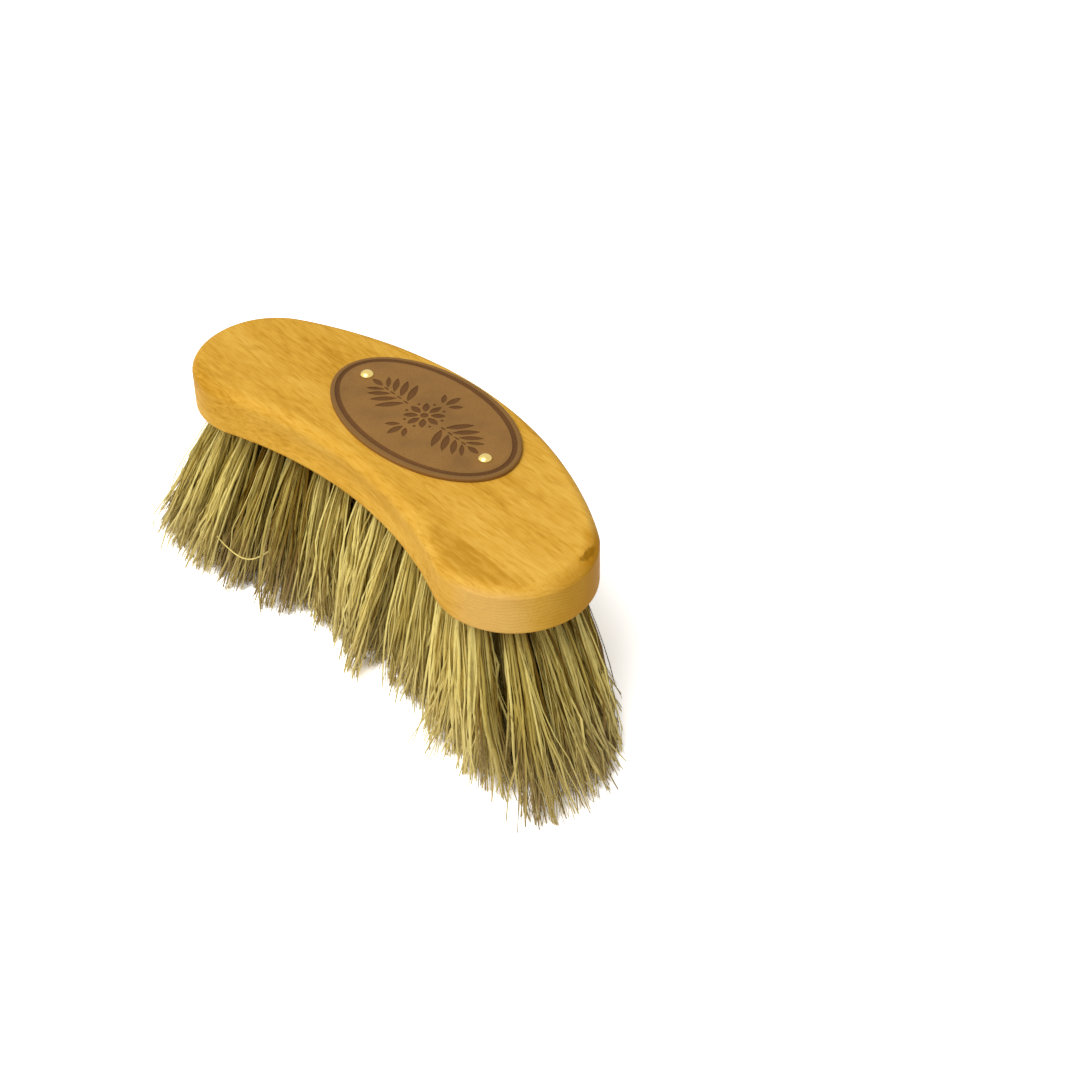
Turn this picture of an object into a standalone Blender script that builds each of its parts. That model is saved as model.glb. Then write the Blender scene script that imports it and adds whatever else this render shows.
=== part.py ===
"""Horse grooming brush: a bean-shaped beech block, a nailed leather badge and rows of bristle tufts.

Metres, +Z up. The brush stands on its bristle tips at z = 0, and its origin is the centre of the
box that it fills, at that height. X runs along the block, and the waist, its hollow long side,
faces -Y.
"""

import math
import random

import bmesh
import bpy
from mathutils import Matrix, Vector

# The beech block
BLOCK_LENGTH = 0.205
BLOCK_THICKNESS = 0.0186
LOBE_RADIUS = 0.0292
CROWN_RISE = 0.0492
WAIST_DROP = 0.0156
TOP_ROUNDING = 0.003
UNDERSIDE_ROUNDING = 0.0012

# The finger groove along the waist
GROOVE_END_MARGIN = 0.0465
GROOVE_HEIGHT = 0.0106
GROOVE_DEPTH = 0.002
GROOVE_ABOVE_UNDERSIDE = 0.0078

# The leather badge on top of the block
BADGE_LENGTH = 0.0934
BADGE_WIDTH = 0.0546
BADGE_THICKNESS = 0.0013
BADGE_EDGE_ROUNDING = 0.0003
BADGE_CROWN_MARGIN = 0.0026
BADGE_X = -0.0012
BADGE_LINE_MARGIN = 0.003
BADGE_LINE_WIDTH = 0.0013
BADGE_LINE_DEPTH = 0.0004

# The brass nails through the badge
NAIL_END_MARGIN = 0.0116
NAIL_HEAD_DIAMETER = 0.0052
NAIL_HEAD_HEIGHT = 0.0014
NAIL_SHANK_DIAMETER = 0.0015
NAIL_SHANK_LENGTH = 0.012
NAIL_POINT_LENGTH = 0.002

# The tufts: rows across the block, each row on its own slice of the backing
BRISTLE_LENGTH = 0.0631
SEAT_MARGIN = 0.0075
SEAT_DEPTH = 0.0035
TUFT_SIDE_MARGIN = 0.013
TUFT_END_MARGIN = 0.018
ROW_PITCH = 0.0057
TUFT_PITCH = 0.009
TUFT_ROOT_RADIUS = 0.00135
TUFT_TIP_RADIUS = 0.0021
STRANDS_PER_TUFT = 3
STRAND_SIDES = 3
STRAND_ROOT_RADIUS = 0.00085
STRAND_TIP_RADIUS = 0.0011
STRAND_ROOT_DEPTH = 0.001
TIP_SCATTER = 0.0003

# How far the outermost tips lean out past their roots
END_SPLAY_FAR = 0.03
END_SPLAY_NEAR = 0.035
END_SPLAY_POWER = 2.5
CROWN_SPLAY_MIDDLE = 0.017
CROWN_SPLAY_END = 0.003
CROWN_SPLAY_POWER = 6
WAIST_SPLAY_FAR = 0.036
WAIST_SPLAY_MIDDLE = 0.021
WAIST_SPLAY_NEAR = 0.016

# Clearance between neighbours, and how finely round shapes are stepped
GAP = 0.0003
OUTLINE_STEP = 0.006
BADGE_SIDES = 48
NAIL_SIDES = 16
DOME_STEPS = 4
GROOVE_RESOLUTION = 8
ROUNDING_STEPS = 3
CUTTER_OVERRUN = 0.01
WELD_DISTANCE = 0.00001
FLAT_ANGLE = math.radians(0.05)
SMOOTH_ANGLE = math.radians(35)
RIM_ANGLE = math.radians(60)
SEED = 7

# Places that follow
UNDERSIDE = BRISTLE_LENGTH
TOP = UNDERSIDE + BLOCK_THICKNESS
SEAT_CEILING = UNDERSIDE + SEAT_DEPTH
BADGE_BASE = TOP + GAP
BADGE_TOP = BADGE_BASE + BADGE_THICKNESS
NAIL_HEAD_BASE = BADGE_TOP + GAP
NAIL_TIP = NAIL_HEAD_BASE - NAIL_SHANK_LENGTH
BADGE_Y = CROWN_RISE - BADGE_CROWN_MARGIN - BADGE_WIDTH / 2
NAIL_REACH = BADGE_LENGTH / 2 - NAIL_END_MARGIN
NAIL_PLACES = {"far": BADGE_X - NAIL_REACH, "near": BADGE_X + NAIL_REACH}

for old in list(bpy.data.objects):
    bpy.data.objects.remove(old, do_unlink=True)

parts = bpy.data.collections.new("grooming_brush")
cutters = bpy.data.collections.new("cutters")
for group in (parts, cutters):
    bpy.context.scene.collection.children.link(group)
brush = bpy.data.objects.new("brush", None)
parts.objects.link(brush)


def material(name, colour, roughness, metallic=0.0):
    made = bpy.data.materials.new(name)
    made.use_nodes = True
    shader = made.node_tree.nodes["Principled BSDF"]
    shader.inputs["Base Color"].default_value = (*colour, 1.0)
    shader.inputs["Roughness"].default_value = roughness
    shader.inputs["Metallic"].default_value = metallic
    return made


def add_part(obj, finish):
    """Puts a piece of the brush in its collection, with its material."""
    obj.data.materials.clear()
    obj.data.materials.append(finish)
    obj.data.shade_smooth()
    obj.data.set_sharp_from_angle(angle=SMOOTH_ANGLE)
    obj.parent = brush
    parts.objects.link(obj)


def add_boolean(obj, operation, other):
    """Cuts or joins a piece with a helper object, which stays out of the render."""
    other.parent = brush
    other.hide_render = True
    other.display_type = "WIRE"
    cutters.objects.link(other)
    modifier = obj.modifiers.new(other.name, "BOOLEAN")
    modifier.operation = operation
    modifier.object = other


def object_of(name, bm):
    """An object from a bmesh, which is freed."""
    bmesh.ops.recalc_face_normals(bm, faces=bm.faces)
    mesh = bpy.data.meshes.new(name)
    bm.to_mesh(mesh)
    bm.free()
    return bpy.data.objects.new(name, mesh)


def mesh_of(name, curve):
    """A curve made a mesh, with its loose caps welded on."""
    holder = bpy.data.objects.new(name, curve)
    bpy.context.scene.collection.objects.link(holder)
    graph = bpy.context.evaluated_depsgraph_get()
    bm = bmesh.new()
    bm.from_mesh(bpy.data.meshes.new_from_object(holder.evaluated_get(graph)))
    bpy.data.objects.remove(holder, do_unlink=True)
    bmesh.ops.remove_doubles(bm, verts=bm.verts, dist=WELD_DISTANCE)
    return bm


def prism(name, outlines, low, high):
    """Flat outlines filled between two heights. An outline inside another is a hole."""
    curve = bpy.data.curves.new(name, "CURVE")
    curve.dimensions = "2D"
    curve.fill_mode = "BOTH"
    curve.extrude = (high - low) / 2
    for outline in outlines:
        spline = curve.splines.new("POLY")
        spline.points.add(len(outline) - 1)
        spline.use_cyclic_u = True
        for point, (x, y) in zip(spline.points, outline):
            point.co = (x, y, 0.0, 1.0)
    bm = mesh_of(name, curve)
    bmesh.ops.dissolve_limit(bm, angle_limit=FLAT_ANGLE, verts=bm.verts, edges=bm.edges)
    bmesh.ops.translate(bm, verts=bm.verts, vec=(0.0, 0.0, (low + high) / 2))
    return object_of(name, bm)


def rod(name, route, radius):
    """A round rod along a route of points."""
    curve = bpy.data.curves.new(name, "CURVE")
    curve.dimensions = "3D"
    curve.bevel_depth = radius
    curve.bevel_resolution = GROOVE_RESOLUTION
    curve.use_fill_caps = True
    spline = curve.splines.new("POLY")
    spline.points.add(len(route) - 1)
    for point, where in zip(spline.points, route):
        point.co = (*where, 1.0)
    return object_of(name, mesh_of(name, curve))


def slab(name, x, half_width):
    """A box across the whole brush, as thick along X as one slice of the backing."""
    bm = bmesh.new()
    bmesh.ops.create_cube(bm, size=1.0)
    bmesh.ops.scale(bm, verts=bm.verts, vec=(2 * half_width, BLOCK_LENGTH, 2 * TOP))
    bmesh.ops.translate(bm, verts=bm.verts, vec=(x, 0.0, TOP))
    return object_of(name, bm)


def drill(name, x, low, high):
    """A cutter for a nail's hole."""
    radius = NAIL_SHANK_DIAMETER / 2 + GAP
    bm = bmesh.new()
    bmesh.ops.create_cone(
        bm, cap_ends=True, segments=NAIL_SIDES, radius1=radius, radius2=radius, depth=high - low
    )
    bmesh.ops.translate(bm, verts=bm.verts, vec=(x, BADGE_Y, (low + high) / 2))
    return object_of(name, bm)


def round_rim(obj, widths):
    """Rounds the rim at each height in widths, which maps a height to its rounding."""
    widest = max(widths.values())
    bm = bmesh.new()
    bm.from_mesh(obj.data)
    weights = bm.edges.layers.float.new("bevel_weight_edge")
    for edge in bm.edges:
        middle = sum(vert.co.z for vert in edge.verts) / 2
        for height, width in widths.items():
            if abs(middle - height) < WELD_DISTANCE and edge.calc_face_angle() > RIM_ANGLE:
                edge[weights] = width / widest
    bm.to_mesh(obj.data)
    bm.free()
    modifier = obj.modifiers.new("rounding", "BEVEL")
    modifier.limit_method = "WEIGHT"
    modifier.offset_type = "OFFSET"
    modifier.width = widest
    modifier.segments = ROUNDING_STEPS


def arc(centre, radius, start, end):
    """Points along an arc in steps of about OUTLINE_STEP, without its last point."""
    steps = max(3, math.ceil(abs(end - start) * radius / OUTLINE_STEP))
    angles = [start + (end - start) * step / steps for step in range(steps)]
    return [(centre[0] + radius * math.cos(a), centre[1] + radius * math.sin(a)) for a in angles]


class Bean:
    """The block's outline moved in by an inset: two lobes, joined by a crown arc and a waist arc."""

    def __init__(self, inset=0.0):
        self.lobe_x = BLOCK_LENGTH / 2 - LOBE_RADIUS
        self.lobe_radius = LOBE_RADIUS - inset
        rise = CROWN_RISE - LOBE_RADIUS
        self.crown_y = (rise**2 - self.lobe_x**2) / (2 * rise)
        self.crown_radius = CROWN_RISE - self.crown_y - inset
        self.crown_angle = math.atan2(-self.crown_y, self.lobe_x)
        drop = LOBE_RADIUS - WAIST_DROP
        self.waist_y = (drop**2 - self.lobe_x**2) / (2 * drop)
        self.waist_radius = -WAIST_DROP - self.waist_y + inset
        self.waist_angle = math.atan2(-self.waist_y, self.lobe_x)

    def outline(self):
        """The outline's points, anticlockwise from where the crown leaves the near lobe."""
        crown, waist, half_turn = self.crown_angle, self.waist_angle, math.pi
        points = arc((0.0, self.crown_y), self.crown_radius, crown, half_turn - crown)
        points += arc((-self.lobe_x, 0.0), self.lobe_radius, half_turn - crown, 2 * half_turn - waist)
        points += arc((0.0, self.waist_y), self.waist_radius, half_turn - waist, waist)
        points += arc((self.lobe_x, 0.0), self.lobe_radius, half_turn + waist, 2 * half_turn + crown)
        return points

    def span(self, x):
        """The lowest and highest Y of the outline at x."""
        past_lobe = abs(x) - self.lobe_x
        lobe_y = math.sqrt(max(0.0, self.lobe_radius**2 - past_lobe**2))
        low, high = -lobe_y, lobe_y
        if abs(x) < self.crown_radius * math.cos(self.crown_angle):
            high = self.crown_y + math.sqrt(self.crown_radius**2 - x**2)
        if abs(x) < self.waist_radius * math.cos(self.waist_angle):
            low = self.waist_y + math.sqrt(self.waist_radius**2 - x**2)
        return low, high


def ellipse(length, width):
    """An ellipse's outline, centred on the badge."""
    angles = [2 * math.pi * step / BADGE_SIDES for step in range(BADGE_SIDES)]
    return [(BADGE_X + length / 2 * math.cos(a), BADGE_Y + width / 2 * math.sin(a)) for a in angles]


def groove_cutter():
    """A long round rod that bites into the waist most at its middle and runs out at both ends."""
    radius = (GROOVE_HEIGHT**2 / 4 + GROOVE_DEPTH**2) / (2 * GROOVE_DEPTH)
    end_x = BLOCK_LENGTH / 2 - GROOVE_END_MARGIN
    middle_y = -WAIST_DROP + GROOVE_DEPTH - radius
    end_y = Bean().span(end_x)[0] - radius
    centre_y = (middle_y**2 - end_x**2 - end_y**2) / (2 * (middle_y - end_y))
    swing = math.atan2(end_x + CUTTER_OVERRUN, end_y - centre_y)
    along = arc((0.0, centre_y), middle_y - centre_y, math.pi / 2 + swing, math.pi / 2 - swing)
    height = UNDERSIDE + GROOVE_ABOVE_UNDERSIDE
    return rod("groove_cutter", [(x, y, height) for x, y in along], radius)


def make_block(finish):
    block = prism("block", [Bean().outline()], UNDERSIDE, TOP)
    round_rim(block, {TOP: TOP_ROUNDING, UNDERSIDE: UNDERSIDE_ROUNDING})
    seat = prism("seat_cutter", [Bean(SEAT_MARGIN).outline()], UNDERSIDE - CUTTER_OVERRUN, SEAT_CEILING)
    add_boolean(block, "DIFFERENCE", seat)
    add_boolean(block, "DIFFERENCE", groove_cutter())
    for side, x in NAIL_PLACES.items():
        hole = drill(f"block_drill_{side}", x, NAIL_TIP - GAP, TOP + CUTTER_OVERRUN)
        add_boolean(block, "DIFFERENCE", hole)
    add_part(block, finish)


def make_badge(finish):
    badge = prism("badge", [ellipse(BADGE_LENGTH, BADGE_WIDTH)], BADGE_BASE, BADGE_TOP)
    round_rim(badge, {BADGE_TOP: BADGE_EDGE_ROUNDING})
    rings = []
    for inset in (BADGE_LINE_MARGIN, BADGE_LINE_MARGIN + BADGE_LINE_WIDTH):
        rings.append(ellipse(BADGE_LENGTH - 2 * inset, BADGE_WIDTH - 2 * inset))
    line = prism("badge_line_cutter", rings, BADGE_TOP - BADGE_LINE_DEPTH, BADGE_TOP + CUTTER_OVERRUN)
    add_boolean(badge, "DIFFERENCE", line)
    for side, x in NAIL_PLACES.items():
        hole = drill(f"badge_drill_{side}", x, BADGE_BASE - CUTTER_OVERRUN, BADGE_TOP + CUTTER_OVERRUN)
        add_boolean(badge, "DIFFERENCE", hole)
    add_part(badge, finish)


def nail_profile():
    """Half of a nail's outline, from the top of its dome down its outer side to its point."""
    head = NAIL_HEAD_DIAMETER / 2
    dome = (head**2 + NAIL_HEAD_HEIGHT**2) / (2 * NAIL_HEAD_HEIGHT)
    widest = math.asin(head / dome)
    points = []
    for step in range(DOME_STEPS + 1):
        angle = widest * step / DOME_STEPS
        points.append((dome * math.sin(angle), NAIL_HEAD_HEIGHT - dome * (1 - math.cos(angle))))
    shank = NAIL_SHANK_DIAMETER / 2
    points += [(shank, 0.0), (shank, NAIL_POINT_LENGTH - NAIL_SHANK_LENGTH), (0.0, -NAIL_SHANK_LENGTH)]
    return points


def make_nail(name, x, finish):
    profile = nail_profile()
    mesh = bpy.data.meshes.new(name)
    edges = [(i, i + 1) for i in range(len(profile) - 1)]
    mesh.from_pydata([(r, 0.0, z) for r, z in profile], edges, [])
    nail = bpy.data.objects.new(name, mesh)
    nail.location = (x, BADGE_Y, NAIL_HEAD_BASE)
    turn = nail.modifiers.new("turned", "SCREW")
    turn.axis = "Z"
    turn.steps = turn.render_steps = NAIL_SIDES
    turn.use_merge_vertices = True
    turn.merge_threshold = WELD_DISTANCE
    add_part(nail, finish)


class TuftField:
    """Where the tufts stand on the underside, and how far their tips lean."""

    def __init__(self):
        self.bean = Bean(TUFT_SIDE_MARGIN)
        self.end_x = BLOCK_LENGTH / 2 - TUFT_END_MARGIN
        self.rows_each_way = round(self.end_x / ROW_PITCH)
        self.pitch = self.end_x / self.rows_each_way
        low, high = self.bean.span(0.0)
        self.half_width = (high - low) / 2

    def row_places(self, row):
        """The tufts of one row, evenly spread. Every other row stands between its neighbours' tufts."""
        x = row * self.pitch
        low, high = self.bean.span(x)
        spaces = max(1, round((high - low) / TUFT_PITCH))
        at_edges = (self.rows_each_way - row) % 2 == 0
        count, start = (spaces + 1, 0.0) if at_edges else (spaces, 0.5)
        return [(x, low + (high - low) * (start + place) / spaces) for place in range(count)]

    def lean(self, x, y):
        """How far a tip lies from its root, in X and Y."""
        share = abs(x) / self.end_x
        low, high = self.bean.span(x)
        across = (y - (low + high) / 2) / self.half_width
        near = x > 0
        end_splay = END_SPLAY_NEAR if near else END_SPLAY_FAR
        waist_end = WAIST_SPLAY_NEAR if near else WAIST_SPLAY_FAR
        waist_splay = WAIST_SPLAY_MIDDLE + (waist_end - WAIST_SPLAY_MIDDLE) * share
        fade = share**CROWN_SPLAY_POWER
        crown_splay = CROWN_SPLAY_MIDDLE + (CROWN_SPLAY_END - CROWN_SPLAY_MIDDLE) * fade
        return (
            math.copysign(end_splay * share**END_SPLAY_POWER, x),
            across * (crown_splay if across > 0 else waist_splay),
        )


def add_strand(bm, root, tip, turn):
    """A tapered strand with level ends, from its root in the backing to its flat tip on the floor."""
    made = bmesh.ops.create_cone(
        bm,
        cap_ends=True,
        segments=STRAND_SIDES,
        radius1=STRAND_TIP_RADIUS,
        radius2=STRAND_ROOT_RADIUS,
        depth=1.0,
        matrix=Matrix.Rotation(turn, 4, "Z"),
    )
    for vert in made["verts"]:
        x, y, z = root if vert.co.z > 0 else tip
        vert.co = (vert.co.x + x, vert.co.y + y, z)


def strands(name, field, row):
    """All strands of one row of tufts."""
    rng = random.Random(SEED + row)
    bm = bmesh.new()
    for x, y in field.row_places(row):
        lean_x, lean_y = field.lean(x, y)
        turn = rng.uniform(0.0, 2 * math.pi)
        for number in range(STRANDS_PER_TUFT):
            angle = turn + 2 * math.pi * number / STRANDS_PER_TUFT
            cos, sin = math.cos(angle), math.sin(angle)
            root = (x + TUFT_ROOT_RADIUS * cos, y + TUFT_ROOT_RADIUS * sin, UNDERSIDE + STRAND_ROOT_DEPTH)
            tip = (
                x + lean_x + TUFT_TIP_RADIUS * cos + rng.uniform(-TIP_SCATTER, TIP_SCATTER),
                y + lean_y + TUFT_TIP_RADIUS * sin + rng.uniform(-TIP_SCATTER, TIP_SCATTER),
                0.0,
            )
            add_strand(bm, root, tip, angle)
    return object_of(name, bm)


def make_tuft_rows(finish):
    """One node a row: its slice of the backing, sawn from the seat's filling, and its strands."""
    field = TuftField()
    filling = Bean(SEAT_MARGIN + GAP).outline()
    seat_end = BLOCK_LENGTH / 2 - SEAT_MARGIN
    for row in range(-field.rows_each_way, field.rows_each_way + 1):
        number = row + field.rows_each_way + 1
        piece = prism(f"tuft_row_{number:02d}", [filling], UNDERSIDE, SEAT_CEILING - GAP)
        low, high = (row - 0.5) * field.pitch + GAP / 2, (row + 0.5) * field.pitch - GAP / 2
        if row == -field.rows_each_way:
            low = -seat_end
        if row == field.rows_each_way:
            high = seat_end
        add_boolean(piece, "INTERSECT", slab(f"saw_{number:02d}", (low + high) / 2, (high - low) / 2))
        add_boolean(piece, "UNION", strands(f"strands_{number:02d}", field, row))
        add_part(piece, finish)


def centre_brush():
    """Moves the whole brush so that its box is centred over the origin."""
    bpy.context.view_layer.update()
    graph = bpy.context.evaluated_depsgraph_get()
    pieces = [obj.evaluated_get(graph) for obj in parts.objects if obj.type == "MESH"]
    corners = [piece.matrix_world @ Vector(corner) for piece in pieces for corner in piece.bound_box]
    for axis in range(2):
        values = [corner[axis] for corner in corners]
        brush.location[axis] = -(min(values) + max(values)) / 2


make_block(material("lacquered_beech", (0.74, 0.41, 0.055), 0.35))
make_badge(material("brown_leather", (0.26, 0.13, 0.055), 0.6))
brass = material("polished_brass", (0.85, 0.65, 0.3), 0.25, metallic=1.0)
for nail_side, nail_x in NAIL_PLACES.items():
    make_nail(f"nail_{nail_side}", nail_x, brass)
make_tuft_rows(material("plant_fibre", (0.36, 0.30, 0.12), 0.7))
centre_brush()
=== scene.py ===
"""A horse grooming brush: lacquered beech block, nailed leather badge and plant-fibre tufts.

Laid out as an add-on and run as a script. Every piece is modelled in metres, +Z up, in the frame of
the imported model, and stands in the place of the node that it replaces.
"""

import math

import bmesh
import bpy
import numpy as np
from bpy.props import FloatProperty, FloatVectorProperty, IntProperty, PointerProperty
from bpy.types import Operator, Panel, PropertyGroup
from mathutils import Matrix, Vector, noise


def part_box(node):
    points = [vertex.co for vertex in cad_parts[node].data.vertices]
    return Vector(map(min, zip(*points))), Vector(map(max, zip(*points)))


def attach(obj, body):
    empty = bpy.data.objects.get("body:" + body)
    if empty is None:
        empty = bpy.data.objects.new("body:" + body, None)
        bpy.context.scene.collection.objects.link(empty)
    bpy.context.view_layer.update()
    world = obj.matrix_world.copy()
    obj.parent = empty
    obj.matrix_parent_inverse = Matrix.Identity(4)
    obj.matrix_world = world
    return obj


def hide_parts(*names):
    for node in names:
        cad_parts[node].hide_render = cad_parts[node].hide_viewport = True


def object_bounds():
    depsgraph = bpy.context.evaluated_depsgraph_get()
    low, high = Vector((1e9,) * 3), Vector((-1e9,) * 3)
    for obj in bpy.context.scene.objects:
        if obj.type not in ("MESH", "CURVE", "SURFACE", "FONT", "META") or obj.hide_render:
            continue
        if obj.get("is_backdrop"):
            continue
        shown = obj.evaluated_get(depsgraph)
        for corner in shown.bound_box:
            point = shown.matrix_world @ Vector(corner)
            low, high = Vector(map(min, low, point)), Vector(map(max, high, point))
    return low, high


bl_info = {
    "name": "Horse grooming brush",
    "version": (1, 0, 0),
    "blender": (4, 5, 0),
    "location": "3D View > Sidebar > Grooming brush",
    "description": "Builds a beech grooming brush with a leather badge and plant-fibre tufts",
    "category": "Object",
}

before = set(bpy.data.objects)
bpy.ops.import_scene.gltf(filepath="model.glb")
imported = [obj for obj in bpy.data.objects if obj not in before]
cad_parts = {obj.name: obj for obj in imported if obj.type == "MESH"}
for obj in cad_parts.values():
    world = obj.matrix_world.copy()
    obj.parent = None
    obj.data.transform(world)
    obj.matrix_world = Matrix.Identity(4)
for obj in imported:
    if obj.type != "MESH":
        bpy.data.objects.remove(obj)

CAD_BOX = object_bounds()
BLOCK_LOW, BLOCK_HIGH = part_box("block")
BADGE_LOW, BADGE_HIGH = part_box("badge")
BADGE_MIDDLE = (BADGE_LOW + BADGE_HIGH) / 2
ROW_NODES = sorted(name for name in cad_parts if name.startswith("tuft_row_"))
NAIL_NODES = ("nail_far", "nail_near")
BODY = "root"
SEED = 11
# From the near end's outline in to the middle of the nick in its rim
NICK_INSET = 0.0028


def srgb(red, green, blue):
    """A colour as picked on a screen, from 0 to 255, made linear."""
    shares = (red / 255, green / 255, blue / 255)
    return tuple(s / 12.92 if s <= 0.04045 else ((s + 0.055) / 1.055) ** 2.4 for s in shares)


def length(name, description, default):
    return FloatProperty(name=name, description=description, default=default, unit="LENGTH", precision=5)


def rotation(name, description, degrees):
    turn = math.radians(degrees)
    return FloatProperty(name=name, description=description, default=turn, unit="ROTATION")


def amount(name, description, default):
    return FloatProperty(name=name, description=description, default=default)


def tally(name, description, default):
    return IntProperty(name=name, description=description, default=default, min=1)


def colour(name, description, default):
    return FloatVectorProperty(
        name=name, description=description, default=default, subtype="COLOR", size=3, min=0.0, max=1.0
    )


class BlockSettings(PropertyGroup):
    """Sizes and colours of the beech block."""

    lobe_radius: length("Lobe radius", "Radius of the block's round ends", 0.0292)
    waist_drop: length("Waist drop", "From the line through the lobes to the waist", 0.0156)
    top_rounding: length("Top rounding", "Height of the rounding of the block's upper rim", 0.0034)
    worn_width: length("Worn width", "How far the rounding reaches in over the hand's side", 0.0052)
    underside_rounding: length("Underside rounding", "Rounding of the block's lower rim", 0.0012)
    groove_reach: length("Groove reach", "From the middle of the block to a groove's end", 0.056)
    groove_height: length("Groove height", "Height of the finger groove at its middle", 0.0098)
    groove_depth: length("Groove depth", "Depth of the finger groove at its middle", 0.0010)
    groove_rise: length("Groove rise", "From the underside to the groove's middle line", 0.0078)
    hole_radius: length("Hole radius", "Radius of a drilled tuft hole", 0.0027)
    hole_depth: length("Hole depth", "Depth of a drilled tuft hole", 0.0035)
    nick_turn: rotation("Nick", "Way round the near end to the nick", 30)
    light: colour("Light wood", "Colour of the early wood", srgb(238, 187, 81))
    middle: colour("Honey wood", "Colour of most of the wood", srgb(224, 169, 61))
    dark: colour("Dark wood", "Colour of the flecks and late wood", srgb(192, 135, 33))
    # Painted light and painted shade on the near end: the lit rim's colour and the shaded side's colour
    sunlit: colour("Sunlit wood", "Colour of the rim that faces the light", srgb(242, 196, 122))
    shaded: colour("Shaded wood", "Colour of the near end away from the light", srgb(192, 130, 16))
    # Painted shade in and round the nick in the near end's rim
    nick_shade: colour("Bruised wood", "Colour round the nick", srgb(152, 104, 8))


class BadgeSettings(PropertyGroup):
    """Sizes and colours of the leather badge."""

    wear: length("Wear", "How far the badge's worn edge has drawn in", 0.0009)
    edge_rounding: length("Edge rounding", "Rounding of the badge's upper edge", 0.0006)
    line_margin: length("Line margin", "From the badge's edge to the burnt line", 0.0020)
    line_width: length("Line width", "Width of the burnt line", 0.0015)
    line_depth: length("Line depth", "Depth of the burnt line", 0.0003)
    ornament_depth: length("Ornament depth", "Depth of the burnt ornament", 0.0002)
    leather: colour("Leather", "Colour of the leather", srgb(149, 107, 53))
    burnt: colour("Burnt leather", "Colour of the burnt line and ornament", srgb(111, 74, 37))


class NailSettings(PropertyGroup):
    """Sizes and colour of the brass nails."""

    head_height: length("Head height", "Height of the domed head", 0.0014)
    shank_radius: length("Shank radius", "Radius of the shank", 0.00075)
    brass: colour("Brass", "Colour of the brass", srgb(231, 203, 122))


class TuftSettings(PropertyGroup):
    """Layout, splay and colours of the tufts."""

    end_margin: length("End margin", "From the block's end to the last row of tufts", 0.018)
    side_margin: length("Side margin", "From the block's side to the nearest tufts", 0.013)
    pitch: length("Tuft pitch", "From tuft to tuft along a row", 0.009)
    end_splay_far: length("End splay, far", "How far the tips at the far end lean out", 0.030)
    end_splay_near: length("End splay, near", "How far the tips at the near end lean out", 0.035)
    corner: amount("Corner", "How much less the far waist corner leans out", 0.22)
    crown_splay: length("Crown splay", "How far the tips on the crown side lean out", 0.017)
    crown_splay_end: length("Crown splay, ends", "Lean of the crown tips at both ends", 0.003)
    waist_splay_far: length("Waist splay, far", "Lean of the waist tips at the far end", 0.036)
    waist_splay: length("Waist splay", "Lean of the waist tips at the middle", 0.021)
    waist_splay_near: length("Waist splay, near", "Lean of the waist tips at the near end", 0.016)
    fan: length("Fan", "How far a tuft's fibres fan out from its middle", 0.0056)
    fibres: tally("Fibres", "Fibres in a tuft", 96)
    ribbons: tally("Ribbons", "Ribbons that a tuft's fibres cling to", 11)
    fibre_radius: length("Fibre radius", "Radius of a fibre of middling thickness", 0.00032)
    straw: colour("Straw", "Colour of the paler fibres", srgb(223, 204, 121))
    olive: colour("Olive", "Colour of the greenish fibres", srgb(187, 164, 79))
    brown: colour("Brown", "Colour of the darkest fibres", srgb(118, 88, 18))
    dust: colour("Dust", "Colour of the worn tips", srgb(196, 175, 130))


class StageSettings(PropertyGroup):
    """Floor, lamps and camera."""

    floor_radius: length("Floor radius", "Radius of the floor", 4.0)
    azimuth: rotation("Azimuth", "Camera's way round", 50.73)
    elevation: rotation("Elevation", "Camera's rise", 38.22)
    roll: rotation("Roll", "Camera's tilt", -0.97)
    distance: length("Distance", "From the camera to its target", 0.7735)
    lens: amount("Lens", "Focal length in millimetres", 72.3)
    sky: amount("Sky", "Strength of the light from all round", 0.42)
    key: amount("Key", "Power of the key lamp in watts", 11.9)
    fill: amount("Fill", "Power of the fill lamp in watts", 1.6)


class BrushSettings(PropertyGroup):
    """All that a user can change on the brush."""

    block: PointerProperty(type=BlockSettings)
    badge: PointerProperty(type=BadgeSettings)
    nails: PointerProperty(type=NailSettings)
    tufts: PointerProperty(type=TuftSettings)
    stage: PointerProperty(type=StageSettings)


def maths(operation):
    """An operator of Value and its reflected form, which has the value on the right."""

    def forward(value, other):
        return value.finish.math(operation, value, other)

    def reflected(value, other):
        return value.finish.math(operation, other, value)

    return forward, reflected


class Value:
    """A shader socket. Arithmetic on values adds Math nodes."""

    def __init__(self, finish, socket):
        self.finish = finish
        self.socket = socket

    __add__, __radd__ = maths("ADD")
    __sub__, __rsub__ = maths("SUBTRACT")
    __mul__, __rmul__ = maths("MULTIPLY")
    __truediv__, __rtruediv__ = maths("DIVIDE")
    __pow__, __rpow__ = maths("POWER")


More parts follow.
